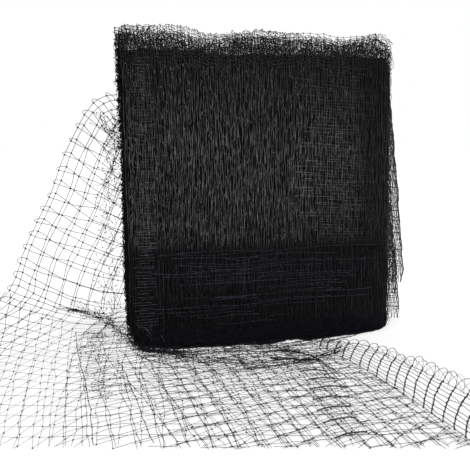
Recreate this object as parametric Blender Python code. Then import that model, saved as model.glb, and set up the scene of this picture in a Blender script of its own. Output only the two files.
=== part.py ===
"""Black bird netting: a folded pack standing on its folded edge, on the free end of the same net.

The net is one sheet and one solid. X runs along the width of the pack and +Z is up. The front face of the
pack lies near y = 0. The free end leaves the back of the pack at the top, falls to the left (-X), and then
spreads on the floor, under the pack and in front of it (-Y). The origin is on the floor, under the middle
of the front face.
"""
import math

import bpy
import numpy as np

# Driving dimensions, in metres
PACK_WIDTH = 0.321
PACK_HEIGHT = 0.354
PACK_LEAN = 0.008  # how far the top of the pack stands to the left of its foot
PACK_BELLY = 0.12  # how much further apart the layers lie in the middle of the pack
LAYER_PITCH = 0.006
SHEET_THICKNESS = 0.002
FOOT_CLEARANCE = 0.004  # from the floor to the lowest fold, so that the spread net passes below
HEAD_CORNER = (0.022, 0.007)  # width and drop of the rounded upper corners
FOOT_CORNER = (0.022, 0.007)  # width and rise of the rounded lower right corner
LIP_REACH = 0.020  # how far the foot of the front layer spreads forwards, on the net below
LIP_LIFT = 0.003  # of its cut edge above the lowest folds
LIP_RISE = 0.017  # from its cut edge up to the face
LIP_BEND = 1.6  # 1 would be a straight slope
LIP_ENDS = (0.08, 0.20)  # parts of the width over which it dies away at the left and at the right
LIP_STEPS = 3
FLAP_HEAD = 0.88  # where the loose right margins begin, as a part of the height
FLAP_FOOT = 0.10  # where they are widest, above their cut ends
ROLL_WIDTH = 0.042  # across the standing fold along the right margin
SLOPE_SAG = 1.7  # 1 would be a taut slope from the ridge to the floor
HEAD_DIP = (0.34, 0.09, 0.004)  # dip in the top folds: its place and reach across the width, and its depth
HEAD_WAVE = 0.0012  # unevenness of the top folds
FOOT_WAVE = 0.0005  # unevenness of the bottom folds
WAVE_TURNS = (3.0, 2.4)  # waves across the width, at the top and at the bottom
WAVE_SHIFT = 600.0  # shifts each fold's waves by its own height, in radians a metre
LAYER_RIPPLE = (0.0012, 1.8, 0.4)  # ripple that all the layers share: its size, and waves across and up

# Where the columns of the sheet lie across its width, from its left margin to its right
COLUMNS = (0, 0.05, 0.13, 0.23, 0.34, 0.45, 0.57, 0.69, 0.78, 0.84, 0.87, 0.905, 0.935, 0.97, 1)
FOOT_COLUMN = 0.45  # where the slope of the free end meets the floor
BASE_COLUMN = 0.84  # where the standing fold begins

FOLD_STEPS = 4  # stretches in each half-round fold
STRAIGHT_STEPS = (0.15, 0.5, 0.85)  # rows along each layer, as parts of its height
ROWS_A_SECTION = 2  # rows of the mesh from one section of the free end to the next

# One row for each layer, from the front: how far the fold at its end stands below the top of the pack or
# above its foot, how far its side margins stand out past the pack's width, and its loose flap's width
LAYER_COLUMNS = ("fold_in", "left_out", "right_out", "flap")
LAYERS = (
    (0.001, 0.000, 0.000, 0.000),
    (0.001, 0.001, -0.002, 0.029),
    (0.004, -0.002, 0.000, 0.000),
    (0.003, 0.002, -0.001, 0.020),
    (0.001, -0.001, -0.003, 0.000),
    (0.000, 0.001, 0.001, 0.000),
    (0.005, -0.002, -0.002, 0.000),
    (0.004, 0.000, 0.000, 0.000),
    (0.003, 0.002, -0.002, 0.000),
    (0.001, -0.002, 0.001, 0.000),
    (0.002, 0.001, -0.001, 0.000),
    (0.003, -0.001, 0.000, 0.000),
    (0.000, 0.000, -0.002, 0.000),
)

# One row for each section across the free end, from the top of the pack's back to the cut edge in front:
# its ridge at the left, where it meets the floor or hangs lowest, where the standing fold begins, and the
# height of that fold
SECTION_COLUMNS = ("ridge", "foot", "base", "roll")
SECTIONS = (
    ((-0.163, 0.094, 0.298), (-0.115, 0.098, 0.232), (0.100, 0.095, 0.280), 0.000),
    ((-0.184, 0.100, 0.293), (-0.108, 0.110, 0.200), (0.092, 0.108, 0.212), 0.000),
    ((-0.206, 0.105, 0.275), (-0.090, 0.122, 0.150), (0.086, 0.120, 0.140), 0.000),
    ((-0.231, 0.112, 0.225), (-0.078, 0.132, 0.075), (0.082, 0.130, 0.065), 0.000),
    ((-0.258, 0.118, 0.164), (-0.110, 0.130, 0.036), (0.078, 0.124, 0.018), 0.000),
    ((-0.285, 0.124, 0.112), (-0.150, 0.126, 0.012), (0.070, 0.095, 0.000), 0.000),
    ((-0.297, 0.116, 0.077), (-0.182, 0.108, 0.000), (0.060, 0.050, 0.000), 0.000),
    ((-0.306, 0.100, 0.050), (-0.200, 0.078, 0.000), (0.048, 0.000, 0.000), 0.000),
    ((-0.321, 0.070, 0.031), (-0.212, 0.030, 0.000), (0.056, -0.058, 0.000), 0.012),
    ((-0.338, 0.020, 0.016), (-0.213, -0.035, 0.000), (0.070, -0.106, 0.000), 0.023),
    ((-0.335, -0.050, 0.006), (-0.209, -0.092, 0.000), (0.079, -0.162, 0.000), 0.029),
    ((-0.324, -0.122, 0.001), (-0.204, -0.150, 0.000), (0.085, -0.216, 0.000), 0.033),
    ((-0.312, -0.184, 0.000), (-0.200, -0.208, 0.000), (0.090, -0.276, 0.000), 0.036),
)

# Low creases that run along the spread net: the column each stands on, the sections where it starts, is
# highest and ends, and its height
CREASE_COLUMNS = ("column", "first", "crest", "last", "height")
CREASES = (
    (0.45, 7.5, 9.5, 12.0, 0.006),
    (0.78, 7.5, 9.0, 12.0, 0.009),
)

NET_COLOUR = (0.014, 0.014, 0.018, 1.0)
NET_ROUGHNESS = 0.42


def named(columns, rows):
    """Gives each row of a table as a dictionary under its column names."""
    return [dict(zip(columns, row)) for row in rows]


def corner(x, width, fall):
    """How far a rounded corner stands in at x, which is measured inwards from the pack's side."""
    part = max(0.0, 1 - x / width)
    return fall * (1 - math.sqrt(1 - part * part))


def head_height(share, fold_in):
    """Height of a layer's top fold at a share of the pack's width: uneven, with rounded corners."""
    inwards = min(share, 1 - share) * PACK_WIDTH
    place, reach, depth = HEAD_DIP
    dip = depth * math.exp(-(((share - place) / reach) ** 2))
    wave = HEAD_WAVE * math.sin(math.tau * WAVE_TURNS[0] * share + WAVE_SHIFT * fold_in)
    return PACK_HEIGHT - fold_in - dip - wave - corner(inwards, *HEAD_CORNER)


def foot_height(share, fold_in):
    """Height of a layer's lowest point at a share of the pack's width."""
    wave = FOOT_WAVE * (1 + math.sin(math.tau * WAVE_TURNS[1] * share + WAVE_SHIFT * fold_in))
    return FOOT_CLEARANCE + fold_in / 2 + wave + corner((1 - share) * PACK_WIDTH, *FOOT_CORNER)


def pack_point(share, depth, height, layer):
    """A point of a layer, with the pack's lean, belly and side margins worked in."""
    rise = height / PACK_HEIGHT
    flap_part = min(max(FLAP_HEAD - rise, 0.0) / (FLAP_HEAD - FLAP_FOOT), 1.0) if rise > FLAP_FOOT else 0.0
    reach = {0.0: -layer["left_out"], 1.0: layer["right_out"] + layer["flap"] * flap_part}
    x = (share - 0.5) * PACK_WIDTH + reach.get(float(share), 0.0) - PACK_LEAN * rise
    half_depth = (len(LAYERS) - 1) * LAYER_PITCH / 2
    fullness = 1 + PACK_BELLY * math.sin(math.pi * share) * math.sin(math.pi * rise)
    size, across, up = LAYER_RIPPLE
    ripple = size * math.sin(math.tau * (across * share + up * rise))
    y = half_depth + (depth - half_depth) * fullness + ripple
    return x, y, height


def layer_row(heights, depth, layer):
    """One row of the sheet across a layer, at a height for each column."""
    return [pack_point(share, depth, height, layer) for share, height in zip(COLUMNS, heights)]


def lip_rows(layer):
    """Rows of the front layer's foot, from its cut edge, which spreads forwards, to the face."""
    rows = []
    for step in range(LIP_STEPS + 1):
        part = step / LIP_STEPS
        row = []
        for share in COLUMNS:
            reach = LIP_REACH * min(share / LIP_ENDS[0], (1 - share) / LIP_ENDS[1], 1.0)
            height = foot_height(share, 0.0) + LIP_LIFT + LIP_RISE * part**LIP_BEND
            row.append(pack_point(share, -reach * (1 - part), height, layer))
        rows.append(row)
    return rows


def pack_rows():
    """Rows of the sheet along the pack's back-and-forth path, from the front layer to the top of its back."""
    radius = LAYER_PITCH / 2
    inset = radius + SHEET_THICKNESS / 2
    layers = named(LAYER_COLUMNS, LAYERS)
    rows = lip_rows(layers[0])
    for number, layer in enumerate(layers):
        depth = number * LAYER_PITCH
        before = layers[max(number - 1, 0)]
        upwards = number % 2 == 0
        head, foot = (layer, before) if upwards else (before, layer)
        highs = [head_height(share, head["fold_in"]) - inset for share in COLUMNS]
        lows = [foot_height(share, foot["fold_in"]) + inset for share in COLUMNS]
        for part in STRAIGHT_STEPS if upwards else STRAIGHT_STEPS[::-1]:
            heights = [low + part * (high - low) for low, high in zip(lows, highs)]
            rows.append(layer_row(heights, depth, layer))
        for step in range(FOLD_STEPS + 1):
            angle = math.pi * step / FOLD_STEPS
            rise = radius * math.sin(angle)
            heights = [high + rise for high in highs] if upwards else [low - rise for low in lows]
            rows.append(layer_row(heights, depth + radius * (1 - math.cos(angle)), layer))
    return rows


def through(before, start, end, after, part):
    """A point between start and end on the smooth curve that also heeds their neighbours."""
    square, cube = part * part, part * part * part
    return 0.5 * (
        2 * start
        + (end - before) * part
        + (2 * before - 5 * start + 4 * end - after) * square
        + (3 * start - before - 3 * end + after) * cube
    )


def smooth_sections():
    """The sections' points and the rows between them, each with its place along the free end."""
    sections = named(SECTION_COLUMNS, SECTIONS)
    table = np.array([[*row["ridge"], *row["foot"], *row["base"], row["roll"]] for row in sections])
    last = len(table) - 1
    for place in range(last * ROWS_A_SECTION + 1):
        number, step = divmod(place, ROWS_A_SECTION)
        near = [table[min(max(number + shift, 0), last)] for shift in (-1, 0, 1, 2)]
        yield number + step / ROWS_A_SECTION, through(*near, step / ROWS_A_SECTION)


def crease_height(share, place):
    """Height of the low creases at a column and a place along the free end."""
    total = 0.0
    for crease in named(CREASE_COLUMNS, CREASES):
        if share != crease["column"]:
            continue
        along = np.interp(place, (crease["first"], crease["crest"], crease["last"]), (0, 1, 0.7))
        total += crease["height"] * along if place >= crease["first"] else 0.0
    return total


def free_rows():
    """Rows of the sheet from the pack's back to the cut edge in front of the pack."""
    rows = []
    for place, values in smooth_sections():
        ridge, foot, base, roll = values[0:3], values[3:6], values[6:9], max(values[9], 0.0)
        outwards = base - foot
        outwards[2] = 0.0
        outwards /= np.linalg.norm(outwards)
        row = []
        for share in COLUMNS:
            if share <= FOOT_COLUMN:
                part = share / FOOT_COLUMN
                point = ridge + (foot - ridge) * part
                point[2] = foot[2] + (ridge[2] - foot[2]) * (1 - part) ** SLOPE_SAG
            elif share <= BASE_COLUMN:
                point = foot + (base - foot) * (share - FOOT_COLUMN) / (BASE_COLUMN - FOOT_COLUMN)
            else:
                part = (share - BASE_COLUMN) / (1 - BASE_COLUMN)
                point = base + outwards * ROLL_WIDTH * (1 - math.cos(math.pi * part)) / 2
                point[2] += roll * math.sin(math.pi * part)
            point[2] = max(point[2], 0.0) + crease_height(share, place) + SHEET_THICKNESS / 2
            row.append(tuple(point))
        rows.append(row)
    return rows


def net_material():
    """Black extruded plastic."""
    material = bpy.data.materials.new("net")
    material.use_nodes = True
    shader = material.node_tree.nodes["Principled BSDF"]
    shader.inputs["Base Color"].default_value = NET_COLOUR
    shader.inputs["Roughness"].default_value = NET_ROUGHNESS
    return material


def sheet_object(name, rows):
    """A sheet through rows of points, given its thickness to both sides."""
    width = len(rows[0])
    faces = [
        (r * width + c, r * width + c + 1, (r + 1) * width + c + 1, (r + 1) * width + c)
        for r in range(len(rows) - 1)
        for c in range(width - 1)
    ]
    mesh = bpy.data.meshes.new(name)
    mesh.from_pydata([point for row in rows for point in row], [], faces)
    mesh.shade_smooth()
    mesh.materials.append(net_material())
    sheet = bpy.data.objects.new(name, mesh)
    bpy.context.collection.objects.link(sheet)
    thickness = sheet.modifiers.new("Thickness", "SOLIDIFY")
    thickness.thickness = SHEET_THICKNESS
    thickness.offset = 0.0
    return sheet


def main():
    for old in list(bpy.data.objects):
        bpy.data.objects.remove(old, do_unlink=True)
    sheet_object("netting", pack_rows() + free_rows())


main()
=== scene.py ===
import math

import bpy
import numpy as np
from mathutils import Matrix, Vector


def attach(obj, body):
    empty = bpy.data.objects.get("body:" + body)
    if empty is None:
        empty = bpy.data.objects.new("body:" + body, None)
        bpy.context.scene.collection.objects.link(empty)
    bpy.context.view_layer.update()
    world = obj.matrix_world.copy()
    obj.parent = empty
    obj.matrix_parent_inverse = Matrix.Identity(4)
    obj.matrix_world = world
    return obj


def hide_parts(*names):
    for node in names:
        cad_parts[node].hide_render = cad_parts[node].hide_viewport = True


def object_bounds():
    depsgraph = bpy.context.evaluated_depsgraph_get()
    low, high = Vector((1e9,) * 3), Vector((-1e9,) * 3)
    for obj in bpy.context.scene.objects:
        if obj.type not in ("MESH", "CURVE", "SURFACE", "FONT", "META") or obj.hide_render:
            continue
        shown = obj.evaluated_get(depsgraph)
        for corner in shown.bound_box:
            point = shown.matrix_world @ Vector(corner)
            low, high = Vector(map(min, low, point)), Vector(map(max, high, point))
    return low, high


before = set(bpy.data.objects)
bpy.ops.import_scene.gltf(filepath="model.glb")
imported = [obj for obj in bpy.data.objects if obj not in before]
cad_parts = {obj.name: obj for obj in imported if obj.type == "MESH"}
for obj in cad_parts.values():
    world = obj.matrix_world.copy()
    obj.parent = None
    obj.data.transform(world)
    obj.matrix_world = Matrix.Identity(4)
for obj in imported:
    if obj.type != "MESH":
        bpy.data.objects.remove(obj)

# A folded pack of black bird netting, which stands on the free end of the same net.
# Metres, +Z up; tables given to inMetres() are in millimetres.
# The pack's front face lies near y = 0, and the origin is on the floor below it.
cadLow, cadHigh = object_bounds()
scene = bpy.context.scene
scene.view_settings.view_transform = "Standard"

net = {
    "mesh": 0.019,  # from knot to knot
    "strand": 0.00027,  # radius
    "knot": 0.00085,  # radius
    "sides": 3,
}

pack = {
    "width": 0.321,
    "height": cadHigh.z + 0.002,
    "depth": 0.072,
    "lean": 0.008,  # the top stands this far to the left of the foot
    "flare": 0.0045,  # how far the lower right side stands out
    "drawnIn": 0.0048,  # how far the upper left side is drawn in
    "belly": 0.12,
    "ripple": (0.0012, 1.8, 0.4),
    "foot": 0.005,
    "leftCorner": (0.009, 0.004),  # width and fall
    "rightCorner": (0.018, 0.009),
    "footCorner": (0.013, 0.006),
    # place, reach and depth of the dips in the top, and of two rises
    "dips": ((0.322, 0.082, 0.0062), (0.60, 0.05, 0.0014), (0.81, 0.065, 0.0026), (0.20, 0.05, -0.0012),
             (0.94, 0.03, -0.0034)),
    "hollow": (0.76, 0.12, 0.0032),
    "lipHeight": 0.024,
    # how far the foot spreads forwards, at shares of the width
    "lipShares": (0, 0.012, 0.035, 0.075, 0.14, 0.28, 0.39, 0.47, 0.60, 0.64, 0.72, 0.86, 0.945, 1.0),
    "lip": (-0.012, -0.007, 0.001, 0.010, 0.0175, 0.0205, 0.0195, 0.0265, 0.0195, 0.0285, 0.0235, 0.018,
            0.0115, 0.004),
}

# which way a strand's corners turn, for strands that run up, level, on the floor or gathered
upFacing = (1.0, 0.3, 0.0)
levelFacing = (0.0, 1.0, 0.1)
floorFacing = (0.13, 0.21, 0.97)
gatheredFacing = (0.3, 0.5, 0.8)


def unit(vectors):
    return vectors / np.maximum(np.linalg.norm(vectors, axis=-1, keepdims=True), 1e-9)


def inMetres(millimetres):
    return np.array(millimetres, float) / 1000


# points, none of them lower above the floor than this
def aboveFloor(points, least=0.0004):
    points[..., 2] = np.maximum(points[..., 2], least)
    return points


# the way gone along the first axis of an array of points
def wayAlong(points):
    steps = np.linalg.norm(np.diff(points, axis=0), axis=-1)
    return np.concatenate([np.zeros_like(steps[:1]), np.cumsum(steps, axis=0)])


# rows of a table, at ways along it
def rowsAt(way, tableWay, table):
    return np.stack([np.interp(way, tableWay, column) for column in table.T], axis=-1)


# smooth uneven shifts over a grid, with a little roughness on top
def wander(rng, rows, columns, smoothSize, roughSize):
    down = np.arange(rows)[:, None]
    across = np.arange(columns)[None, :]
    total = np.zeros((rows, columns))
    for turn in range(5):
        phase = rng.uniform(-0.8, 0.8) * down + rng.uniform(-0.3, 0.3) * across
        total += np.sin(phase + rng.uniform(0, math.tau))
    return smoothSize * total / 1.6 + roughSize * rng.normal(size=(rows, columns))


# a part of the way from start to end, on a smooth curve through all four
def curved(before, start, end, after, part):
    return 0.5 * (
        2 * start + (end - before) * part
        + (2 * before - 5 * start + 4 * end - after) * part ** 2
        + (3 * start - before - 3 * end + after) * part ** 3
    )


# points along the first axis, with steps stretches from each to the next on a smooth curve
def smoothed(points, steps):
    padded = np.concatenate([2 * points[:1] - points[1:2], points, 2 * points[-1:] - points[-2:-1]])
    four = [padded[start:len(padded) - 3 + start][:, None] for start in range(4)]
    part = (np.arange(steps) / steps).reshape((1, steps) + (1,) * (points.ndim - 1))
    return np.concatenate([curved(*four, part).reshape((-1,) + points.shape[1:]), points[-1:]])


# strands that head the given ways from point to point, round the given middles
def walked(middles, ways, lengths):
    steps = (ways[:, 1:] + ways[:, :-1]) / 2 * (lengths / (ways.shape[1] - 1))[:, None, None]
    lines = np.cumsum(np.concatenate([np.zeros_like(steps[:, :1]), steps], axis=1), axis=1)
    return middles[:, None] + lines - lines.mean(axis=1, keepdims=True)


# tubes round rows of points; lines is (how many, points in each, 3)
def addTubes(parts, lines, radius=net["strand"], facing=(0.0, 0.0, 1.0)):
    count, length = lines.shape[:2]
    if count == 0:
        return
    sides = net["sides"]
    ahead = unit(np.gradient(lines, axis=1))
    side = unit(np.cross(ahead, facing))[:, :, None]
    rise = np.cross(ahead[:, :, None], side)
    turns = (math.tau * np.arange(sides) / sides)[:, None]
    radius = np.broadcast_to(radius, (count, length))[:, :, None, None]
    corners = lines[:, :, None] + radius * (np.cos(turns) * side + np.sin(turns) * rise)
    first = (np.arange(count)[:, None] * length + np.arange(length - 1))[..., None] * sides
    here = first + np.arange(sides)
    there = first + (np.arange(sides) + 1) % sides
    quads = np.stack([here, there, there + sides, here + sides], axis=-1)
    parts.append((corners.reshape(-1, 3), quads.reshape(-1, 4), np.zeros((0, 3), int)))


knotCorners = np.array([(1, 0, 0), (-1, 0, 0), (0, 1, 0), (0, -1, 0), (0, 0, 1), (0, 0, -1)], float)
knotFaces = np.array([(0, 2, 4), (2, 1, 4), (1, 3, 4), (3, 0, 4), (2, 0, 5), (1, 2, 5), (3, 1, 5), (0, 3, 5)])


def addKnots(parts, points, radius=net["knot"]):
    points = points.reshape(-1, 3)
    radius = np.broadcast_to(np.ravel(radius), len(points))[:, None, None]
    corners = points[:, None, :] + knotCorners * radius
    faces = knotFaces[None] + 6 * np.arange(len(points))[:, None, None]
    parts.append((corners.reshape(-1, 3), np.zeros((0, 4), int), faces.reshape(-1, 3)))


def addObject(name, data):
    thing = bpy.data.objects.new(name, data)
    scene.collection.objects.link(thing)
    return thing


triangleCounts = []


def makePiece(name, parts, material):
    corners, quads, triangles = zip(*parts)
    shift = np.cumsum([0] + [len(some) for some in corners[:-1]])
    corners = np.concatenate(corners)
    quads = np.concatenate([some + start for some, start in zip(quads, shift)])
    triangles = np.concatenate([some + start for some, start in zip(triangles, shift)])
    starts = [4 * np.arange(len(quads)), quads.size + 3 * np.arange(len(triangles))]
    mesh = bpy.data.meshes.new(name)
    mesh.vertices.add(len(corners))
    mesh.vertices.foreach_set("co", corners.astype(np.float32).ravel())
    loops = np.concatenate([quads.ravel(), triangles.ravel()]).astype(np.int32)
    mesh.loops.add(len(loops))
    mesh.loops.foreach_set("vertex_index", loops)
    mesh.polygons.add(len(quads) + len(triangles))
    mesh.polygons.foreach_set("loop_start", np.concatenate(starts).astype(np.int32))
    mesh.polygons.foreach_set("use_smooth", np.ones(len(mesh.polygons), bool))
    mesh.update(calc_edges=True)
    mesh.materials.append(material)
    piece = addObject(name, mesh)
    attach(piece, "root")
    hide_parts("netting")
    triangleCounts.append(2 * len(quads) + len(triangles))
    print("made", name, triangleCounts[-1], "triangles")
    return piece


def setInputs(material, node, inputs):
    for name, value in inputs.items():
        if isinstance(value, bpy.types.NodeSocket):
            material.node_tree.links.new(value, node.inputs[name])
        else:
            node.inputs[name].default_value = value


# a node of a material; gives the output that is asked for
def addNode(material, kind, output, inputs, **settings):
    node = material.node_tree.nodes.new("ShaderNode" + kind)
    for name, value in settings.items():
        setattr(node, name, value)
    setInputs(material, node, inputs)
    return node.outputs[output]


# tones from dark to light over a value; each stop is a place and a tone
def addRamp(material, value, stops):
    tones = addNode(material, "ValToRGB", "Color", {"Fac": value})
    elements = tones.node.color_ramp.elements
    for number, (place, tone) in enumerate(stops):
        element = elements[number] if number < 2 else elements.new(place)
        element.position = place
        element.color = (*np.broadcast_to(tone, 3), 1.0)
    return tones


def netMaterial(name, dark, light, roughness, sheen):
    material = bpy.data.materials.new(name)
    material.use_nodes = True
    place = addNode(material, "TexCoord", "Object", {})
    grain = addNode(material, "TexNoise", "Fac", {"Vector": place, "Scale": 260.0, "Detail": 3.0})
    rough = {"Value": grain, "To Min": roughness - 0.08, "To Max": roughness + 0.12}
    marks = addNode(material, "TexNoise", "Fac", {"Vector": place, "Scale": 1400.0})
    bumps = {"Height": marks, "Strength": 0.25, "Distance": 0.0001}
    setInputs(material, material.node_tree.nodes["Principled BSDF"], {
        "IOR": 1.5,
        "Specular IOR Level": sheen,
        "Base Color": addRamp(material, grain, ((0.3, dark), (0.75, light))),
        "Roughness": addNode(material, "MapRange", "Result", rough),
        "Normal": addNode(material, "Bump", "Normal", bumps),
    })
    return material


# where the drawn strands on the face catch the light: places and tones up it and across it
faceTones = {
    "up": ((0.312, 0.0), (0.350, 0.7), (0.45, 1.0), (0.66, 1.0), (0.78, 0.6), (0.86, 0.4), (0.95, 0.1)),
    "across": ((0.0, 0.6), (0.12, 0.8), (0.2, 1.0), (0.6, 1.0), (0.70, 0.7), (0.82, 0.6), (0.88, 0.2),
               (1.0, 0.2)),
    "height": 0.354,
}


# the pack's face: the same plastic, with painted sheen: paler streaks mixed into its colour where the drawn
# strands catch the light
def paintedSheenNetMaterial(name, sheenPaleness, sharpness, stretched=(1.0, 1.0, 0.12), scale=680.0):
    material = netMaterial(name, (0.002, 0.002, 0.003), (0.006, 0.006, 0.008), 0.5, 0.3)
    shader = material.node_tree.nodes["Principled BSDF"]
    under = shader.inputs["Base Color"].links[0].from_socket
    place = addNode(material, "TexCoord", "Object", {})
    upward = addNode(material, "SeparateXYZ", "Z", {"Vector": place})
    upward = addNode(material, "Math", 0, {0: upward, 1: faceTones["height"]}, operation="DIVIDE")
    aside = addNode(material, "SeparateXYZ", "X", {"Vector": place})
    sides = {"Value": aside, "From Min": -pack["width"] / 2, "From Max": pack["width"] / 2}
    aside = addNode(material, "MapRange", "Result", sides)
    stretch = addNode(material, "Mapping", "Vector", {"Vector": place, "Scale": stretched})
    streaks = addNode(material, "TexNoise", "Fac", {"Vector": stretch, "Scale": scale, "Detail": 2.0})
    sharper = {"Value": streaks, "From Min": sharpness[0], "From Max": sharpness[1]}
    share = addNode(material, "MapRange", "Result", sharper)
    for value, stops in ((upward, faceTones["up"]), (aside, faceTones["across"])):
        tones = addRamp(material, value, stops)
        share = addNode(material, "Math", 0, {0: share, 1: tones}, operation="MULTIPLY")
    # painted highlight: the streak mask mixes a pale grey into the base colour
    pale = {"Factor": share, "A": under, "B": (sheenPaleness, sheenPaleness, sheenPaleness, 1)}
    setInputs(material, shader, {"Base Color": addNode(material, "Mix", "Result", pale, data_type="RGBA")})
    return material


strandMaterial = netMaterial("blackNet", (0.006, 0.006, 0.008), (0.020, 0.020, 0.024), 0.42, 0.5)
# the face nets carry painted sheen, weaker on the layer behind and blotchier on the right face
frontMaterial = paintedSheenNetMaterial("drawnNet", 0.22, (0.38, 0.64))
middleMaterial = paintedSheenNetMaterial("drawnNetBehind", 0.13, (0.42, 0.68))
# a darker, duller copy of the net's plastic: painted shade for net deep in the pack, on its core, inner front
# layer, foot, left side and fringe
shadedPackMaterial = netMaterial("packedNetPaintedShade", (0.0010, 0.0010, 0.0012), (0.005, 0.005, 0.0058), 0.7, 0.05)
sheenFaceMaterial = paintedSheenNetMaterial("faceNetPaintedSheen", 0.25, (0.36, 0.62), (0.4, 1.0, 0.6), 300.0)
# a paler grey copy of the net's plastic: painted sheen, on the face's left ladder and the loose ends
sheenLadderMaterial = netMaterial("ladderNetPaintedSheen", (0.014, 0.014, 0.018), (0.14, 0.14, 0.165), 0.5, 0.3)
# a darker, duller copy of the net's plastic: painted shade in the creases and folds on the floor, under and
# before the pack's foot
shadedFoldsMaterial = netMaterial("drawnFoldsPaintedShade", (0.003, 0.003, 0.004), (0.010, 0.010, 0.012), 0.6, 0.15)
# a paler grey-blue copy of the net's plastic: painted sheen, weaker than on the bright face, for the low,
# foot and drawn areas
dimSheenFaceMaterial = netMaterial("dimFaceNetPaintedSheen", (0.003, 0.003, 0.008), (0.100, 0.100, 0.138), 0.6, 0.15)
# a darker, duller copy of the net's plastic: painted shade at the pack's foot
shadedLipMaterial = netMaterial("lipNetPaintedShade", (0.001, 0.001, 0.002), (0.010, 0.010, 0.017), 0.7, 0.05)
glintMaterial = netMaterial("catchingNet", (0.03, 0.03, 0.032), (0.26, 0.26, 0.27), 0.4, 0.5)
print("stage: the materials are made")


def corner(inwards, size):
    width, fall = size
    part = np.clip(1 - inwards / width, 0, 1)
    return fall * (1 - np.sqrt(1 - part ** 2))


def headHeight(share, dips=1.0):
    share = np.clip(share, 0, 1)
    height = pack["height"] - corner(share * pack["width"], pack["leftCorner"])
    height = height - corner((1 - share) * pack["width"], pack["rightCorner"])
    for place, reach, depth in pack["dips"]:
        height = height - dips * depth * np.exp(-(((share - place) / reach) ** 2))
    return height


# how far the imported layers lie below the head's outline, where only one row of meshes reaches it
def hollow(share):
    place, reach, depth = pack["hollow"]
    return depth * np.exp(-(((np.clip(share, 0, 1) - place) / reach) ** 4))


def footHeight(share):
    return pack["foot"] + corner((1 - share) * pack["width"], pack["footCorner"])


# a point of the pack: its share of the way to the right, its depth behind the face, its height
def packPoint(share, depth, height):
    rise = height / pack["height"]
    half = pack["depth"] / 2
    swell = np.sin(np.pi * np.clip(share, 0, 1)) * np.sin(np.pi * np.clip(rise, 0, 1))
    size, across, up = pack["ripple"]
    x = (share - 0.5) * pack["width"] - pack["lean"] * rise
    x = x + pack["flare"] * np.clip(share, 0, 1) * np.clip(1 - rise, 0, 1) * np.clip(rise / 0.03, 0, 1)
    x = x + pack["drawnIn"] * np.clip(1 - share, 0, 1) * np.clip((rise - 0.2) / 0.45, 0, 1)
    ripple = size * np.sin(math.tau * (across * share + up * rise))
    y = half + (depth - half) * (1 + pack["belly"] * swell) + ripple
    return np.stack(np.broadcast_arrays(x, y, height), axis=-1)


# the foot of the front layers, which spreads forwards on the floor: part 1 is its rim, part 0 the face
def lipPoint(share, part, lift):
    forwards = np.interp(share, pack["lipShares"], pack["lip"])
    height = pack["lipHeight"] * np.clip(1 - part, 0, None) ** 1.6 + 0.0012 + lift
    height = height + 1.5 * corner((1 - share) * pack["width"], pack["footCorner"])
    return packPoint(share, -forwards * part, height)


# the dense middle of the pack: one thin sheet folded back and forth, from the rim of the spread foot
core = {
    "layers": 13,
    "columns": 64,
    "thickness": 0.0008,
    "headInset": 0.0285,
    "waves": 0.0012,
    "jagged": 0.0016,
    "footInset": 0.004,
    "sideInset": 0.003,
    "rows": 9,  # up each layer
    "turnRows": 5,
    "lipRows": 7,
    "lipUneven": 0.04,
}


def makeCore():
    rng = np.random.default_rng(3)
    pitch = pack["depth"] / (core["layers"] - 1)
    side = core["sideInset"] / pack["width"]
    shares = np.linspace(0, 1, core["columns"])
    share = side + shares * (1 - 2 * side)
    rows = []
    for part in np.linspace(1, 0.1, core["lipRows"]):
        uneven = rng.normal(0, core["lipUneven"] * part, core["columns"])
        rows.append(lipPoint(share, part + uneven, -0.0006))
    for number in range(core["layers"]):
        upwards = number % 2 == 0
        depth = number * pitch
        margins = side + rng.uniform(-0.003, 0.003, 2)
        share = margins[0] + shares * (1 - margins.sum())
        waves = core["waves"] * np.sin(math.tau * (3.1 * shares + rng.uniform()))
        jags = rng.normal(0, core["jagged"], core["columns"])
        high = headHeight(share, 0.4) - core["headInset"] + waves + jags
        low = footHeight(share) + core["footInset"]
        heights = (np.arange(core["rows"]) + 0.5) / core["rows"]
        for part in heights if upwards else heights[::-1]:
            rows.append(packPoint(share, depth, low + part * (high - low)))
        turnRows = core["turnRows"] if number < core["layers"] - 1 else 0
        for angle in math.pi * (np.arange(turnRows) + 0.5) / core["turnRows"]:
            rise = pitch / 2 * math.sin(angle)
            turn = depth + pitch / 2 * (1 - math.cos(angle))
            rows.append(packPoint(share, turn, high + rise if upwards else low - rise))
    grid = np.array(rows)
    count, columns = grid.shape[:2]
    first = np.arange(count - 1)[:, None] * columns + np.arange(columns - 1)
    quads = np.stack([first, first + 1, first + 1 + columns, first + columns], axis=-1).reshape(-1, 4)
    # the core sheet wears painted shade, darker and duller than the net's plastic
    piece = makePiece("packCore", [(grid.reshape(-1, 3), quads, np.zeros((0, 3), int))], shadedPackMaterial)
    thickness = piece.modifiers.new("thickness", "SOLIDIFY")
    thickness.thickness = core["thickness"]
    thickness.offset = 0.0
    return piece, (wayAlong(grid[20])[-1], wayAlong(grid[:, 20])[-1])


corePiece, coreSize = makeCore()

folds = {
    "columns": 92, "radius": 0.003, "front": 0.05, "back": 0.04, "drop": 0.004, "dropAt": ((0, 1), (1, 1)),
    "uneven": 0.002, "waves": 3.0, "ragged": 0.0003, "waver": 0.0008, "rough": 0.0006, "lens": 0.0004,
    "stagger": 0.0035, "hairpins": 1.0, "sag": (0.0070, 0.0092), "lean": 0.0012, "strand": net["strand"],
    "knot": 0.0006, "rails": (), "foot": False,
    "follows": 0.85,  # how far a column's stagger follows its neighbour's
    "drift": (0.001, 0.0015), "deep": (0.0008, 0.0006), "upwards": 0.3, "slack": (-0.0015, 0.003),
}


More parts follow.
